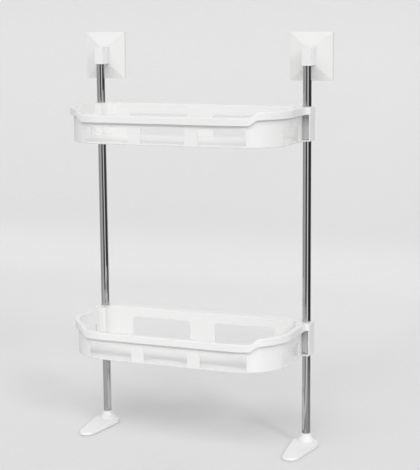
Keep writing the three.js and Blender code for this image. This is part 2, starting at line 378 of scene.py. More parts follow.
# %% [markdown]
# ## The inside of the tray
# The inside has its own plan. It follows the walls, steps in round the poles at the rear and is rounded
# wide where the back wall meets those steps. Taken out of the body it leaves walls a little over two
# millimetres thick and a floor as thick as they are, and taken out of the rim it leaves the flange.

# %% Hollow out the tray
WALL = 2.2 * MM
FLOOR_TOP = WALL - TRAY_HEIGHT
BACK_FACE = BACK_OUTER - WALL
INSIDE_INSET = OVERHANG + WALL
STEP_FRONT = -26.2 * MM
STEP_ROUND = 3 * MM
BACK_ROUND = 15 * MM
CUT_HEIGHT = 60 * MM


def inside_block():
    """A cutter for the space inside the walls, from the floor to well above the rim."""
    side = RIM_SIDE - INSIDE_INSET
    front = INSIDE_INSET - RIM_FRONT
    made = sheet("inside", side, front, BACK_FACE)
    for x in (-POCKET_INNER, POCKET_INNER):
        cut_line(x=x)
    cut_line(y=STEP_FRONT)
    throw_away(lambda x, y: x > POCKET_INNER and y > STEP_FRONT)
    pick_all()
    bpy.ops.mesh.dissolve_limited(angle_limit=math.radians(1))
    round_corners(side, front, CORNER - INSIDE_INSET, CORNER_STEPS)
    round_corners(side, STEP_FRONT, STEP_ROUND, 4)
    round_corners(POCKET_INNER, STEP_FRONT, STEP_ROUND, 4)
    round_corners(POCKET_INNER, BACK_FACE, BACK_ROUND, 10)
    pick_all()
    move(0, 0, FLOOR_TOP)
    extrude(0, 0, CUT_HEIGHT)
    face_outwards()
    close_edit()
    return made


for part in (body, rim):
    carve(part, inside_block(), "DIFFERENCE")
print("hollow body:", loose_edges(body), "open edges, flange:", loose_edges(rim), "open edges")

# %% [markdown]
# ## Pockets and holes for the poles
# At each rear corner the pole passes through a pocket that opens to the front, where the ear stands out from
# the side wall, so the sleeve inside can be seen. A pocket is a cube with its upright edges bevelled. It is
# cut before the rim is joined on, so that the rim runs across above it like a bridge. The holes above and
# below the pocket are plain drilled rounds with room for the tube.

# %% Cut the pockets, join the rim and drill the pole holes
X_AXIS, Y_AXIS, Z_AXIS = 0, 1, 2
POLE_X = 185 * MM
POLE_HOLE = 7.3 * MM
DRILL_LOW, DRILL_HIGH = -70 * MM, 10 * MM
POCKET_HALF = 9.3 * MM
POCKET_FRONT = -24 * MM
POCKET_TOP = 5 * MM
POCKET_ROUND = 3 * MM


def box_block(name, low, high):
    """A cube primitive brought to the size and place of a box."""
    made = fresh(name, bpy.ops.mesh.primitive_cube_add, size=1)
    low, high = Vector(low), Vector(high)
    size = high - low
    scale_about((0, 0, 0), size.x, size.y, size.z)
    move(*((low + high) / 2))
    return made


def runs_along(edge, axis):
    a, b = (point.co for point in edge.verts)
    return abs((b - a).normalized()[axis]) > 0.999


def rounded_block(name, low, high, axis, radius, segments):
    """A box whose edges along one axis are rounded. Where they lie level, the lower two stay square."""
    made = box_block(name, low, high)
    middle = (low[2] + high[2]) / 2
    upright = axis == Z_AXIS
    pick("EDGE", lambda edge: runs_along(edge, axis) and (upright or edge.verts[0].co.z > middle))
    bpy.ops.mesh.bevel(offset=radius, segments=segments, affect="EDGES")
    face_outwards()
    close_edit()
    return made


def round_bar(name, radius, centre, low, high):
    made = fresh(name, bpy.ops.mesh.primitive_cylinder_add, vertices=64, radius=radius, depth=high - low)
    move(centre[0], centre[1], (low + high) / 2)
    close_edit()
    return made


for pole in (-POLE_X, POLE_X):
    low = (pole - POCKET_HALF, POCKET_FRONT, FLOOR_TOP)
    high = (pole + POCKET_HALF, POCKET_HALF, POCKET_TOP)
    carve(body, rounded_block("pocket", low, high, Z_AXIS, POCKET_ROUND, 4), "DIFFERENCE")
carve(body, rim, "UNION")
for pole in (-POLE_X, POLE_X):
    carve(body, round_bar("pole_hole", POLE_HOLE, (pole, 0), DRILL_LOW, DRILL_HIGH), "DIFFERENCE")
print("with pockets and rim:", len(body.data.polygons), "faces,", loose_edges(body), "open edges")

# %% [markdown]
# ## Windows in the walls
# The walls are broken by low windows that let water and air through: three in front, two behind and one on
# each side. A window is a block with its upper corners rounded that is pushed through the wall. The blocks
# near the front corners run far enough in to pass the curving wall. After so many cuts, points that fell
# together are merged and flat faces are made whole again.

# %% Cut the windows
FRONT_SPANS = [(-137.5 * MM, -60 * MM), (-38 * MM, 38 * MM), (60 * MM, 137.5 * MM)]
BACK_SPANS = [(-130 * MM, -23 * MM), (23 * MM, 130 * MM)]
SIDE_SPAN = (-107 * MM, -37 * MM)
WINDOW_TOP = -28 * MM
WINDOW_ROUND = 3 * MM
BACK_WINDOW_TOP = -16.5 * MM
BACK_WINDOW_ROUND = 5 * MM
CURVE_DEPTH = 20 * MM
PAST = 1 * MM


def cut_window(low, high, axis, radius, segments):
    carve(body, rounded_block("window", low, high, axis, radius, segments), "DIFFERENCE")


def clean_up(piece, reach):
    """Merges points within reach of each other and joins faces that lie in one plane."""
    open_edit(piece)
    pick_all()
    bpy.ops.mesh.remove_doubles(threshold=reach)
    bpy.ops.mesh.delete_loose(use_faces=True)
    pick_all()
    bpy.ops.mesh.dissolve_limited(angle_limit=math.radians(0.4))
    close_edit()


for left, right in FRONT_SPANS:
    low = (left, -RIM_FRONT, FLOOR_TOP)
    high = (right, CURVE_DEPTH - RIM_FRONT, WINDOW_TOP)
    cut_window(low, high, Y_AXIS, WINDOW_ROUND, 5)
for left, right in BACK_SPANS:
    low = (left, BACK_FACE - PAST, FLOOR_TOP)
    high = (right, BACK_OUTER + PAST, BACK_WINDOW_TOP)
    cut_window(low, high, Y_AXIS, BACK_WINDOW_ROUND, 6)
side_wall = RIM_SIDE - OVERHANG
for side in (-1, 1):
    ends = sorted((side * (side_wall - CURVE_DEPTH), side * (side_wall + PAST)))
    low = (ends[0], SIDE_SPAN[0], FLOOR_TOP)
    high = (ends[1], SIDE_SPAN[1], WINDOW_TOP)
    cut_window(low, high, X_AXIS, WINDOW_ROUND, 5)
clean_up(body, reach=0.2 * MM)
windows = len(FRONT_SPANS) + len(BACK_SPANS) + 2
print(windows, "windows cut,", len(body.data.polygons), "faces,", loose_edges(body), "open edges")

# %% [markdown]
# ## Soft edges, and the second tray
# No edge of a moulding is sharp: a third of a millimetre of rounding is what catches the light along rims
# and windows. The outer edges whose faces meet at a wide angle are picked and bevelled all at once. Then the
# tray is lifted to the height of the upper tier and copied down to the lower one, with a mesh of its own.

# %% Finish the tray and copy it
POLE_Y = 68 * MM
UPPER_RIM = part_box("upper_tray")[1].z
LOWER_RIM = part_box("lower_tray")[1].z


def is_sharp(edge, angle):
    return len(edge.link_faces) == 2 and edge.is_convex and edge.calc_face_angle() > math.radians(angle)


def soften(piece, width, angle):
    """Rounds every outer edge that bends by more than the angle in degrees, and counts them."""
    open_edit(piece)
    count = pick("EDGE", lambda edge: is_sharp(edge, angle))
    bpy.ops.mesh.bevel(offset=width, segments=2, affect="EDGES")
    close_edit()
    return count


def place(piece, x, y, z):
    open_edit(piece)
    pick_all()
    move(x, y, z)
    close_edit()


def copy_of(piece, name):
    take(piece)
    bpy.ops.object.duplicate(linked=False)
    made = bpy.context.active_object
    made.name = name
    return made


soften(body, width=0.3 * MM, angle=40)
upper_tray = body
upper_tray.name = "upper_tray_moulding"
place(upper_tray, 0, POLE_Y, UPPER_RIM)
lower_tray = copy_of(upper_tray, "lower_tray_moulding")
place(lower_tray, 0, 0, LOWER_RIM - UPPER_RIM)
print("tray:", len(upper_tray.data.polygons), "faces,", loose_edges(upper_tray), "open edges")

# %% [markdown]
# ## Turned pieces
# Poles and sleeves are round, so they are made as on a lathe. A single point is extruded from place to
# place until it has drawn the outline of the wall, and Spin carries that outline once round the axis. The
# ends of the outline are cut off a little at the corners, as the ends of a sawn tube are.

# %% Draw an outline and spin it
def draw_line(name, points):
    """A line drawn by extruding one point from place to place."""
    made = fresh(name, bpy.ops.mesh.primitive_plane_add, size=1 * MM)
    pick_all()
    bpy.ops.mesh.merge(type="CENTER")
    pick("VERT", lambda point: True)
    places = [Vector(point) for point in points]
    move(*places[0])
    for last, following in zip(places, places[1:]):
        extrude(*(following - last))
    return made


def spin_round(centre, axis, steps=64):
    pick_all()
    bpy.ops.mesh.spin(steps=steps, angle=2 * math.pi, center=centre, axis=axis)
    pick_all()
    bpy.ops.mesh.remove_doubles(threshold=0.001 * MM)
    face_outwards()
    close_edit()


def turned(name, x, y, outline):
    """An upright piece from radius and height pairs, turned about the axis at x and y."""
    made = draw_line(name, [(x + radius, y, height) for radius, height in outline])
    spin_round((x, y, 0), (0, 0, 1))
    return made


def tube_outline(inner, outer, low, high, cut):
    """The outline of a tube wall with its corners cut off, closed on itself."""
    return [
        (inner, low + cut), (inner + cut, low), (outer - cut, low), (outer, low + cut),
        (outer, high - cut), (outer - cut, high), (inner + cut, high), (inner, high - cut), (inner, low + cut),
    ]


trial = turned("trial_tube", 0, 0, tube_outline(6 * MM, 7 * MM, 0, 40 * MM, 0.2 * MM))
print("a trial tube has", len(trial.data.polygons), "faces and", loose_edges(trial), "open edges")
bpy.data.objects.remove(trial)

# %% [markdown]
# ## The poles
# Each pole is three lengths of polished tube that meet inside the trays. The heights at which a tube begins
# and ends come from the engineering model. Only the left pole is modelled. The right one is a copy that is
# moved across by the distance between the axes. Smooth shading with weighted normals keeps the long flat
# strips of the tube looking round and the cut ends crisp.

# %% Six pole tubes
POLE_RADIUS = 7 * MM
POLE_WALL = 0.8 * MM
TUBE_CUT = 0.2 * MM
ACROSS = 2 * POLE_X


def shade(piece):
    """Smooth shading in which large faces lead, so that flats stay flat up to their rounded edges."""
    take(piece)
    bpy.ops.object.shade_smooth_by_angle(angle=math.radians(50))
    bpy.ops.object.modifier_add(type="WEIGHTED_NORMAL")
    step = piece.modifiers[-1]
    step.keep_sharp = True
    bpy.ops.object.modifier_apply(modifier=step.name)


def copy_across(piece, name):
    made = copy_of(piece, name)
    place(made, ACROSS, 0, 0)
    return made


poles = {}
for part in ("top", "middle", "bottom"):
    low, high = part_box(f"left_{part}_pole")
    outline = tube_outline(POLE_RADIUS - POLE_WALL, POLE_RADIUS, low.z, high.z, TUBE_CUT)
    left = turned(f"left_{part}_pole_tube", -POLE_X, POLE_Y, outline)
    shade(left)
    poles[f"left_{part}_pole"] = left
    poles[f"right_{part}_pole"] = copy_across(left, f"right_{part}_pole_tube")
    print(part, "tube:", round((high.z - low.z) / MM, 1), "mm long")

# %% [markdown]
# ## The sleeves inside the tray corners
# Where two tubes meet, a white sleeve holds them. It is slightly wider at the foot and has a ring inside
# that stops both tubes. The sleeve shows through the open side of its pocket, so it is turned in the same
# way as the tubes, and once drawn it is copied to the other three corners.

# %% Four sleeves
SLEEVE_ROOM = 0.3 * MM
SLEEVE_LOW = FLOOR_TOP + SLEEVE_ROOM
SLEEVE_HIGH = LID - SLEEVE_ROOM
SLEEVE_FOOT = 9.1 * MM
SLEEVE_HEAD = 8.6 * MM
BORE = 7.2 * MM
STOP_BORE = 5.2 * MM
STOP_LOW = (SLEEVE_LOW + SLEEVE_HIGH) / 2 - 1.5 * MM
STOP_HIGH = (SLEEVE_LOW + SLEEVE_HIGH) / 2 + 1.5 * MM

sleeve_outline = [
    (BORE, SLEEVE_LOW), (SLEEVE_FOOT - 0.4 * MM, SLEEVE_LOW), (SLEEVE_FOOT, SLEEVE_LOW + 0.5 * MM),
    (SLEEVE_HEAD, SLEEVE_HIGH - 0.4 * MM), (SLEEVE_HEAD - 0.3 * MM, SLEEVE_HIGH), (BORE, SLEEVE_HIGH),
    (BORE, STOP_HIGH), (STOP_BORE, STOP_HIGH), (STOP_BORE, STOP_LOW), (BORE, STOP_LOW), (BORE, SLEEVE_LOW),
]
sleeve = turned("upper_left_sleeve_turned", -POLE_X, POLE_Y, sleeve_outline)
place(sleeve, 0, 0, UPPER_RIM)
shade(sleeve)
sleeves = {"upper_left_sleeve": sleeve}
sleeves["upper_right_sleeve"] = copy_across(sleeve, "upper_right_sleeve_turned")
for side in ("left", "right"):
    lower = copy_of(sleeves[f"upper_{side}_sleeve"], f"lower_{side}_sleeve_turned")
    place(lower, 0, 0, LOWER_RIM - UPPER_RIM)
    sleeves[f"lower_{side}_sleeve"] = lower
for tray in (upper_tray, lower_tray):
    shade(tray)
print("sleeves:", len(sleeves), "open edges in one:", loose_edges(sleeve))

# %% [markdown]
# ## The wall plates
# A plate is a shallow four-sided pyramid with a thin edge. It starts as a cube of the edge's thickness. Its
# front face is extruded forward and scaled down to the flat that the arm sits on, which makes the four
# sloping facets at once. From behind, a countersunk hole takes the screw. The ridges between the facets get
# a very small bevel, so that each keeps a crisp bright line.

# %% Two wall plates
PLATE_EDGE = 5.5 * MM
FLAT_WIDTH = 24 * MM
FLAT_HEIGHT = 37 * MM
HOLE_DEPTH = 15.3 * MM
SHANK_HOLE = 2.2 * MM
HEAD_HOLE = 4.2 * MM
SINK_DEPTH = 2.5 * MM
SINK_LIP = 0.3 * MM

plate_low, plate_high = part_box("left_wall_plate")
plate_size = plate_high - plate_low
plate_middle = (plate_low + plate_high) / 2
plate = box_block("left_wall_plate_moulding", (plate_low.x, plate_high.y - PLATE_EDGE, plate_low.z), plate_high)
pick("FACE", lambda face: face.normal.y < -0.9)
extrude(0, PLATE_EDGE - plate_size.y, 0)
scale_about(plate_middle, FLAT_WIDTH / plate_size.x, 1, FLAT_HEIGHT / plate_size.z)
face_outwards()
close_edit()


def screw_hole():
    """A cutter for the screw's hole: a shank, a countersink and the way out to the back."""
    back = plate_high.y
    outline = [
        (0, back - HOLE_DEPTH), (SHANK_HOLE, back - HOLE_DEPTH), (SHANK_HOLE, back - SINK_DEPTH),
        (HEAD_HOLE, back - SINK_LIP), (HEAD_HOLE, back + PAST), (0, back + PAST),
    ]
    axis = (plate_middle.x, 0, plate_middle.z)
    made = draw_line("screw_hole", [(axis[0] + radius, y, axis[2]) for radius, y in outline])
    spin_round(axis, (0, 1, 0), 32)
    return made


carve(plate, screw_hole(), "DIFFERENCE")
ridges = soften(plate, width=0.35 * MM, angle=6)
shade(plate)
plates = {"left_wall_plate": plate, "right_wall_plate": copy_across(plate, "right_wall_plate_moulding")}
print("plate:", ridges, "edges softened,", loose_edges(plate), "open edges")

# %% [markdown]
# ## The bracket arms
# The arm is a small block that sits over the end of the pole and reaches back to the plate. The upright
# edges are rounded first. Then a bore for the tube is cut from below, which leaves a roof on top, and the
# screw's hole runs in from the plate. The block is finished by taking the sharpness off all edges.

# %% Two bracket arms
ARM_ROOF = 5 * MM
ARM_ROUND = 1.5 * MM

arm_low, arm_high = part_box("left_bracket_arm")
arm = rounded_block("left_bracket_arm_moulding", arm_low, arm_high, Z_AXIS, ARM_ROUND, 4)
arm_bore = round_bar("bore", BORE, (-POLE_X, POLE_Y), arm_low.z - 2 * PAST, arm_high.z - ARM_ROOF)
carve(arm, arm_bore, "DIFFERENCE")
carve(arm, screw_hole(), "DIFFERENCE")
clean_up(arm, reach=0.01 * MM)
soften(arm, width=0.4 * MM, angle=40)
shade(arm)
arms = {"left_bracket_arm": arm, "right_bracket_arm": copy_across(arm, "right_bracket_arm_moulding")}
print("arm:", len(arm.data.polygons), "faces,", loose_edges(arm), "open edges")

# %% [markdown]
# ## The adhesive tape behind the plates
# A thin sheet of foam holds each plate to the wall. It is a plane that is turned up to stand behind the plate,
# has its corners rounded by a vertex bevel and is extruded to its thickness. Its edges are softened because
# foam never has a sharp one.

# %% Two adhesive tapes
TAPE_ROUND = 4 * MM

tape_low, tape_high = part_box("left_adhesive_tape")
tape_size = tape_high - tape_low
tape_middle = (tape_low + tape_high) / 2
tape = fresh("left_adhesive_tape_sheet", bpy.ops.mesh.primitive_plane_add, size=1, rotation=(math.pi / 2, 0, 0))
close_edit()
bpy.ops.object.transform_apply(location=False, rotation=True, scale=False)
open_edit(tape)
pick_all()
scale_about((0, 0, 0), tape_size.x, 1, tape_size.z)
pick("VERT", lambda point: True)
bpy.ops.mesh.bevel(offset=TAPE_ROUND, segments=6, affect="VERTICES")
pick_all()
move(tape_middle.x, tape_low.y, tape_middle.z)
extrude(0, tape_size.y, 0)
face_outwards()
close_edit()
soften(tape, width=0.25 * MM, angle=40)
shade(tape)
tapes = {"left_adhesive_tape": tape, "right_adhesive_tape": copy_across(tape, "right_adhesive_tape_sheet")}
print("tape:", [round(v / MM, 1) for v in tape_size], "mm,", loose_edges(tape), "open edges")

# %% [markdown]
# ## The feet
# A foot is a long drop shape: a round heel round the pole that narrows to a round toe in front. It begins
# as a circle whose front part is scaled down and moved forward. The sheet is raised to a slab whose sides
# lean in, its top is cut to slope from the collar towards the toe, and the upper edge is rounded.

# %% Slab of the foot
HEEL = 22.95 * MM
HEEL_LEAD = 6 * MM
TOE = 13.95 * MM
TOE_BACK = 79 * MM
FOOT_LOW = 1 * MM
HEEL_TOP = 8 * MM
TOE_TOP = 5.5 * MM
FOOT_ROUND = 2 * MM
COLLAR = 8.6 * MM
LEAN = 0.95


def foot_slab(name, inset, low, high, lean):
    """The drop shape as a slab, with its top drawn in so that the sides lean."""
    made = fresh(name, bpy.ops.mesh.primitive_circle_add, vertices=72, radius=HEEL - inset, fill_type="NGON")
    taper = (HEEL - TOE) / (TOE_BACK - HEEL_LEAD)
    pick("VERT", lambda point: point.co.y < -taper * (HEEL - inset))
    share = (TOE - inset) / (HEEL - inset)
    scale_about((0, 0, 0), share, share, 1)
    move(0, HEEL_LEAD - TOE_BACK, 0)
    pick_all()
    move(-POLE_X, POLE_Y - HEEL_LEAD, low)
    extrude(0, 0, high - low)
    scale_about((-POLE_X, POLE_Y - TOE_BACK / 2, high), lean, (1 + lean) / 2, 1)
    return made


foot = foot_slab("left_foot_moulding", 0, FOOT_LOW, HEEL_TOP, LEAN)
slope_run = TOE_BACK + TOE - COLLAR
pick_all()
bpy.ops.mesh.bisect(
    plane_co=(0, POLE_Y - COLLAR, HEEL_TOP), plane_no=(0, TOE_TOP - HEEL_TOP, slope_run),
    use_fill=True, clear_outer=True,
)
face_outwards()
pick("EDGE", lambda edge: between(edge, looks_up, looks_aside))
bpy.ops.mesh.bevel(offset=FOOT_ROUND, segments=5, affect="EDGES")
close_edit()
print("slab of the foot:", len(foot.data.polygons), "faces,", loose_edges(foot), "open edges")

# %% [markdown]
# ## The collar of the foot
# A collar rises from the heel and holds the pole. It flares like a tent, upright at the top and ever wider
# towards the slab, so its outline is drawn as a parabola and turned on the lathe. Spin leaves spokes on its
# flat ends. They are cleaned away first, because a cutter whose corners fall on edges makes slivers. Then
# the collar is joined to the slab, and the bore for the tube and the recess for the grip are cut. Only the
# square edges are softened, so that the seam round the collar stays as it is.

# %% Two feet
COLLAR_FLARE = 6.2 * MM
COLLAR_TOP = 21 * MM
FLARE_STEPS = 12
FOOT_SOLE = 4 * MM
GRIP_INSET = 3.7 * MM
GRIP_RECESS = 2 * MM

flare_line = [(0, HEEL_TOP - PAST), (COLLAR + COLLAR_FLARE, HEEL_TOP - PAST)]
for step in range(FLARE_STEPS + 1):
    rise = step / FLARE_STEPS
    flare_line.append((COLLAR + COLLAR_FLARE * (1 - rise) ** 2, HEEL_TOP + (COLLAR_TOP - HEEL_TOP) * rise))
flare_line.append((0, COLLAR_TOP))
collar = turned("collar", -POLE_X, POLE_Y, flare_line)
clean_up(collar, reach=CLOSE / 10)
carve(foot, collar, "UNION")
foot_bore = round_bar("bore", BORE, (-POLE_X, POLE_Y), FOOT_SOLE, COLLAR_TOP + 5 * PAST)
carve(foot, foot_bore, "DIFFERENCE")
recess = foot_slab("recess", GRIP_INSET, -PAST, GRIP_RECESS, 1)
face_outwards()
close_edit()
carve(foot, recess, "DIFFERENCE")
clean_up(foot, reach=CLOSE / 10)
soften(foot, width=0.3 * MM, angle=60)
shade(foot)
feet = {"left_foot": foot, "right_foot": copy_across(foot, "right_foot_moulding")}
print("foot:", len(foot.data.polygons), "faces,", loose_edges(foot), "open edges")

# %% [markdown]
# ## Reckoning with sockets
# A finish is a small sum of noises. It reads best when it is written as one, so this class wraps a socket
# and lets it be added and multiplied like a number. Every other node comes from one method, which takes the
# kind of node, its settings and what goes into its sockets. All patterns use Object coordinates, so they
# are measured in metres and stay on the piece when it moves.

# %% A socket that can be added and multiplied
class Wire:
    """An output socket in a node tree, to be reckoned with."""

    def __init__(self, socket):
        self.socket = socket

    def made(self, kind, settings, values, output=0):
        """A new node of the same tree, with its settings, its inputs and the output that is wanted."""
        tree = self.socket.id_data
        node = tree.nodes.new(kind)
        for name, value in settings.items():
            setattr(node, name, value)
        for name, value in values.items():
            feed(node.inputs[name], value)
        return Wire(node.outputs[output])

    def __add__(self, other):
        return self.made("ShaderNodeMath", {"operation": "ADD"}, {0: self, 1: other})

    def __radd__(self, other):
        return self + other

    def __mul__(self, other):
        return self.made("ShaderNodeMath", {"operation": "MULTIPLY"}, {0: self, 1: other})

    def __rmul__(self, other):
        return self * other

    def __rsub__(self, other):
        return self.made("ShaderNodeMath", {"operation": "SUBTRACT"}, {0: other, 1: self})

    def stretched(self, x, y, z):
        """The place, multiplied along each axis, for patterns that are longer one way."""
        return self.made("ShaderNodeVectorMath", {"operation": "MULTIPLY"}, {0: self, 1: (x, y, z)})

    def noise(self, scale, detail=3.0):
        return self.made("ShaderNodeTexNoise", {}, {"Vector": self, "Scale": scale, "Detail": detail}, "Fac")

    def cells(self, scale):
        return self.made("ShaderNodeTexVoronoi", {}, {"Vector": self, "Scale": scale}, "Distance")

    def ramp(self, low, high):
        """From 0 at the low value to 1 at the high one, with soft ends."""
        settings = {"interpolation_type": "SMOOTHSTEP"}
        return self.made("ShaderNodeMapRange", settings, {"Value": self, "From Min": low, "From Max": high})

    def tint(self, dark, light):
        """A colour between two others, with this as the share of the second."""
        return self.made("ShaderNodeMix", {"data_type": "RGBA"}, {0: self, 6: (*dark, 1), 7: (*light, 1)}, 2)

    def bump(self, strength, distance):
        values = {"Strength": strength, "Distance": distance, "Height": self}
        return self.made("ShaderNodeBump", {}, values, "Normal")


def feed(socket, value):
    """Links a wire to a socket, or sets a plain value on it."""
    if isinstance(value, Wire):
        socket.id_data.links.new(value.socket, socket)
    else:
        socket.default_value = value


def new_finish(name):
    """A new material, its shader and the place on the piece as a wire."""
    finish = bpy.data.materials.new(name)
    finish.use_nodes = True
    nodes = finish.node_tree.nodes
    place_on = Wire(nodes.new("ShaderNodeTexCoord").outputs["Object"])
    return finish, nodes["Principled BSDF"].inputs, place_on


print("what a wire can do:", [name for name in vars(Wire) if not name.startswith("_")])

# %% [markdown]
# ## White plastic
# The trays, feet and brackets are moulded from the same glossy white plastic. Close up it isn't one even
# white: the melt leaves faint clouds where it flowed, the gloss changes a little from place to place, and
# the skin has a very fine ripple that softens reflections. Three noises of different size give these.

# %% Finish of the mouldings
white_plastic, shader, at = new_finish("moulded_white")
clouds = at.noise(7.0, 2.0)
ripple = at.noise(160.0, 2.0)
grain = at.noise(1400.0, 1.0)
feed(shader["Base Color"], (0.75 * clouds + 0.25 * grain).tint((0.85, 0.85, 0.845), (0.89, 0.89, 0.885)))
feed(shader["Roughness"], 0.14 + 0.08 * clouds + 0.05 * grain)
feed(shader["Normal"], (ripple + 0.15 * grain).bump(0.06, 0.2 * MM))
shader["IOR"].default_value = 1.49
print("white plastic:", len(white_plastic.node_tree.nodes), "nodes")

# %% [markdown]
# ## Polished steel
# The tubes were drawn and polished along their length. What is left of that are fine lines that run along
# the tube: the noise is squeezed across the tube and pulled out along it. The lines change the gloss and
# the tone a little and blur the reflections to the side.

# %% Finish of the poles
polished_steel, shader, at = new_finish("drawn_and_polished")
lines = at.stretched(900.0, 900.0, 5.0).noise(1.0, 2.0)
smears = at.stretched(60.0, 60.0, 14.0).noise(1.0, 3.0)
feed(shader["Base Color"], (0.6 * lines + 0.4 * smears).tint((0.52, 0.525, 0.53), (0.66, 0.66, 0.655)))
feed(shader["Roughness"], 0.03 + 0.04 * lines + 0.03 * smears)
feed(shader["Normal"], lines.bump(0.05, 0.1 * MM))
shader["Metallic"].default_value = 1.0
print("polished steel:", len(polished_steel.node_tree.nodes), "nodes")

# %% [markdown]
# ## Foam, rubber and zinc
# The small pieces at the back and underneath have finishes of their own. Foam shows its open cells, the
# grip under the foot is a pebbled rubber sheet, and the screw is zinc plated, which leaves a patchy grey
# crystal pattern.

# %% Finishes of tape, grip and screw
foam_tape, shader, at = new_finish("open_foam")
pores = at.cells(1500.0)
feed(shader["Base Color"], (pores + 0.3 * at.noise(40.0)).tint((0.55, 0.54, 0.51), (0.78, 0.77, 0.74)))
feed(shader["Roughness"], 0.8 + 0.15 * pores)
feed(shader["Normal"], pores.bump(0.4, 0.2 * MM))

grip_rubber, shader, at = new_finish("pebbled_rubber")
pebbles = at.cells(700.0)
feed(shader["Base Color"], (0.6 * pebbles + 0.4 * at.noise(25.0)).tint((0.46, 0.46, 0.45), (0.64, 0.64, 0.63)))
feed(shader["Roughness"], 0.65 + 0.25 * pebbles)
feed(shader["Normal"], (1 - pebbles).bump(0.5, 0.3 * MM))

zinc_steel, shader, at = new_finish("zinc_plating")
crystals = at.cells(900.0)
feed(shader["Base Color"], (crystals + 0.2 * at.noise(300.0)).tint((0.34, 0.35, 0.36), (0.52, 0.53, 0.55)))
feed(shader["Roughness"], 0.28 + 0.2 * crystals)
feed(shader["Normal"], crystals.bump(0.1, 0.1 * MM))
shader["Metallic"].default_value = 1.0
print("small finishes:", foam_tape.name, grip_rubber.name, zinc_steel.name)

# %% [markdown]
# ## Dressing the frame
# Now each piece gets its finish and is attached to the body that carries it, and the engineering node that it
# stands for is hidden. The trays, tubes and sleeves stay with the frame. Plates, arms and tapes turn with their
# bracket, and feet turn under their pole. The screws and the grips underneath have the right shape already, so
# they keep their engineering mesh and only get a finish.

# %% Dress each piece and hide the node it stands for
def dress(piece, node, body, finish):
    piece.data.materials.clear()
    piece.data.materials.append(finish)
    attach(piece, body)
    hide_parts(node)


dress(upper_tray, "upper_tray", "frame", white_plastic)
dress(lower_tray, "lower_tray", "frame", white_plastic)
for node, piece in sleeves.items():
    dress(piece, node, "frame", white_plastic)
for node, piece in poles.items():
    dress(piece, node, "frame", polished_steel)
for side in ("left", "right"):
    bracket = f"{side}_bracket"
    dress(plates[f"{side}_wall_plate"], f"{side}_wall_plate", bracket, white_plastic)
    dress(arms[f"{side}_bracket_arm"], f"{side}_bracket_arm", bracket, white_plastic)
    dress(tapes[f"{side}_adhesive_tape"], f"{side}_adhesive_tape", bracket, foam_tape)
    dress(feet[f"{side}_foot"], f"{side}_foot", f"{side}_foot_body", white_plastic)
    frame["nodes"][f"{side}_bracket_screw"].material_slots[0].material = zinc_steel
    frame["nodes"][f"{side}_foot_grip"].material_slots[0].material = grip_rubber
print("dressed:", len(poles) + len(sleeves) + len(plates) + len(arms) + len(tapes) + len(feet) + 2, "pieces")

# %% [markdown]
# ## A pale studio
# The shelf stands on a pale sweep: a floor that curves up into a backdrop, so that no line shows behind it.
# It is a plane whose rear edge is extruded upwards and whose fold is bevelled very wide. Its material is
# matt paper with painted shade: darker where it starts to rise, to make up for the extra light that part gets
# because it faces the lamps. Its back can be seen through, so that the shelf can be looked at from behind.

# %% Floor and backdrop
SWEEP_WIDTH = 7.0
SWEEP_DEPTH = 3.0
SWEEP_MIDDLE = 0.6
SWEEP_HEIGHT = 3.2
SWEEP_FOLD = 0.9
FLOOR_COLOUR = (0.786, 0.781, 0.79)
RISE_PAINTED_SHADE = (0.67, 0.67, 0.67)

sweep = fresh("sweep", bpy.ops.mesh.primitive_plane_add, size=1)
scale_about((0, 0, 0), SWEEP_WIDTH, SWEEP_DEPTH, 1)
move(0, SWEEP_MIDDLE, 0)
rear_edge = SWEEP_MIDDLE + SWEEP_DEPTH / 2
pick("EDGE", lambda edge: all(near(point.co.y, rear_edge) for point in edge.verts))
extrude(0, 0, SWEEP_HEIGHT)
pick("EDGE", lambda edge: all(near(point.co.y, rear_edge) and near(point.co.z, 0) for point in edge.verts))
bpy.ops.mesh.bevel(offset=SWEEP_FOLD, segments=24, affect="EDGES")
close_edit()
bpy.ops.object.shade_smooth()

paper, shader, at = new_finish("pale_paper")
height = at.made("ShaderNodeSeparateXYZ", {}, {0: at}, "Z")
# painted shade: the paper turns darker where it starts to rise, where the lamps light it more
rise = height.ramp(0.0, 0.12) * (1 - 0.5 * height.ramp(0.2, 0.75))
feed(shader["Base Color"], (0.85 * rise + 0.15 * at.noise(1.5, 2.0)).tint(FLOOR_COLOUR, RISE_PAINTED_SHADE))
feed(shader["Roughness"], 0.85 + 0.1 * at.noise(300.0))
feed(shader["Alpha"], 1 - at.made("ShaderNodeNewGeometry", {}, {}, "Backfacing"))
sweep.data.materials.append(paper)
sweep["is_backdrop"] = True
print("sweep:", len(sweep.data.polygons), "faces")

# %% [markdown]
# ## What the steel mirrors
# The polished tubes mirror painted reflections, not a room: a dark patch where nothing stands near the camera,
# a pale card beside it, a black one further round and pale paper behind the shelf. These tones glow on a wide
# ring round the shelf that only mirror reflections can see. The ring is a tube without ends. Its lower edge is
# extruded and scaled inwards to a flat brim just above the floor, because the tubes mirror the floor as well.

# %% A ring for the mirror reflections
RING_RADIUS = 1.25
RING_HEIGHT = 2.4
BRIM_RADIUS = 0.12
BRIM_HEIGHT = 0.003

ring = fresh(
    "mirror_ring", bpy.ops.mesh.primitive_cylinder_add,
    vertices=96, radius=RING_RADIUS, depth=RING_HEIGHT, end_fill_type="NOTHING",
)
move(0, 0, RING_HEIGHT / 2 + BRIM_HEIGHT)
pick("EDGE", lambda edge: all(near(point.co.z, BRIM_HEIGHT) for point in edge.verts))
extrude(0, 0, 0)
scale_about((0, 0, BRIM_HEIGHT), BRIM_RADIUS / RING_RADIUS, BRIM_RADIUS / RING_RADIUS, 1)
close_edit()
ring.visible_camera = False
ring.visible_diffuse = False
ring.visible_transmission = False
ring.visible_shadow = False
ring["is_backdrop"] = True
print("ring:", len(ring.data.polygons), "faces")
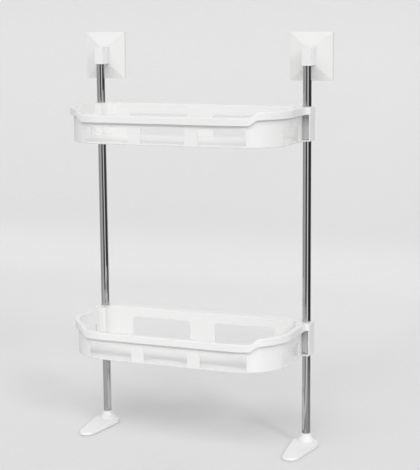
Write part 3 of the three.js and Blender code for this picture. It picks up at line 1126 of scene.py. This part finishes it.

# %% [markdown]
# ## The tones of the ring
# The angle round the ring, counted from the side where the camera stands, is found from the place on it. The
# painted reflection tone is a sum of soft patches, each with its brightness, its two ends in degrees and the
# softness of those ends. The ring glows with this tone. On the brim the contrast fades towards the shelf, where
# the tubes mirror mostly pale floor.

# %% Paint the ring
CAMERA_TURN = math.radians(22.5413)
PATCHES = [
    (0.78, -200, -150, 4), (0.42, -150, -70, 4), (0.62, -70, -42, 8), (0.24, -42, -20, 6), (0.02, -20, 11, 4),
    (0.85, 11, 38, 4), (0.1, 38, 56, 5), (0.01, 56, 108, 5), (0.22, 108, 150, 4), (0.78, 150, 200, 4),
]

ring_tone, shader, at = new_finish("ring_tone")
sine, cosine = math.sin(CAMERA_TURN), math.cos(CAMERA_TURN)
across = at.made("ShaderNodeVectorMath", {"operation": "DOT_PRODUCT"}, {0: at, 1: (cosine, sine, 0)}, "Value")
towards = at.made("ShaderNodeVectorMath", {"operation": "DOT_PRODUCT"}, {0: at, 1: (sine, -cosine, 0)}, "Value")
angle = across.made("ShaderNodeMath", {"operation": "ARCTAN2"}, {0: across, 1: towards}) * (180 / math.pi)


def patch(low, high, soft):
    """One between two angles in degrees and nothing outside them."""
    return angle.ramp(low - soft, low + soft) * (1 - angle.ramp(high - soft, high + soft))


tone = sum(brightness * patch(low, high, soft) for brightness, low, high, soft in PATCHES)
reach = at.made("ShaderNodeVectorMath", {"operation": "LENGTH"}, {0: at.stretched(1, 1, 0)}, "Value")
far = reach.ramp(0.3, 1.05)
tone = tone * far + (0.3 + 0.45 * tone) * (1 - far)
feed(shader["Base Color"], (0, 0, 0, 1))
# painted reflection: the ring glows with this tone, and only mirror reflections see it
feed(shader["Emission Color"], tone.tint((0, 0, 0), (1, 1, 1)))
shader["Emission Strength"].default_value = 1.0
ring.data.materials.append(ring_tone)
print("ring:", len(PATCHES), "patches in", len(ring_tone.node_tree.nodes), "nodes")

# %% [markdown]
# ## Light
# Much of the light is even and comes from all round, as in a white tent. A lamp on the right gives the
# mouldings their form, a weak one on the left lifts the other side, and one high in front shines into the
# trays. Each takes up some of the sky, so every shadow has a soft edge.

# %% World and lamps
TENT_STRENGTH = 0.61

world = bpy.data.worlds.new("tent")
world.use_nodes = True
bpy.context.scene.world = world
tent = world.node_tree.nodes["Background"].inputs
tent["Color"].default_value = (1.0, 1.0, 1.0, 1)
tent["Strength"].default_value = TENT_STRENGTH


def soft_lamp(name, travel, energy, spread):
    """A distant lamp whose light travels this way, softened by the degrees it takes up in the sky."""
    bpy.ops.object.light_add(type="SUN", location=Vector(travel) * -2)
    lamp = bpy.context.active_object
    lamp.name = name
    lamp.data.energy = energy
    lamp.data.angle = math.radians(spread)
    lamp.rotation_euler = Vector(travel).to_track_quat("-Z", "Y").to_euler()
    return lamp


lamps = [
    soft_lamp("key_lamp", (-0.68, 0.56, -0.47), energy=0.62, spread=12),
    soft_lamp("side_lamp", (0.27, 0.7, -0.66), energy=0.22, spread=25),
    soft_lamp("fill_lamp", (-0.2, 0.7, -0.69), energy=0.8, spread=30),
]
print("lamps:", [lamp.name for lamp in lamps])

# %% [markdown]
# ## Camera
# The camera stands to the right of the shelf and a little above it, with a long lens that keeps the poles
# nearly upright. Its turn, height and distance were found by lining up the poles, trays and feet.

# %% Camera at the photographed angle
CAMERA_PLACE = (0.875836, -2.008083, 0.717140)
CAMERA_RISE = math.radians(9.37496)
CAMERA_ROLL = math.radians(0.464601)
SENSOR_WIDTH = 36
LENS = 103.855

bpy.ops.object.camera_add(location=CAMERA_PLACE)
camera = bpy.context.active_object
camera.name = "camera"
level = math.cos(CAMERA_RISE)
backwards = Vector((sine * level, -cosine * level, math.sin(CAMERA_RISE)))
rightwards = Vector((cosine, sine, 0))
upwards = backwards.cross(rightwards)
rolled_right = math.cos(CAMERA_ROLL) * rightwards - math.sin(CAMERA_ROLL) * upwards
rolled_up = math.sin(CAMERA_ROLL) * rightwards + math.cos(CAMERA_ROLL) * upwards
turn = Matrix((rolled_right, rolled_up, backwards)).transposed()
camera.rotation_euler = turn.to_euler()
camera.data.sensor_width = SENSOR_WIDTH
camera.data.lens = LENS
camera.data.dof.use_dof = False
bpy.context.scene.camera = camera
bpy.context.scene.view_settings.view_transform = "Standard"
print("camera at", [round(v, 3) for v in camera.location], "lens", camera.data.lens)

# %% [markdown] ## The size of the dressed model The box round every shown piece except the backdrop is measured and printed.

# %% Measure the box and print its size
low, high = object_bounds()
print("size in mm:", [round(1000 * v, 1) for v in high - low])
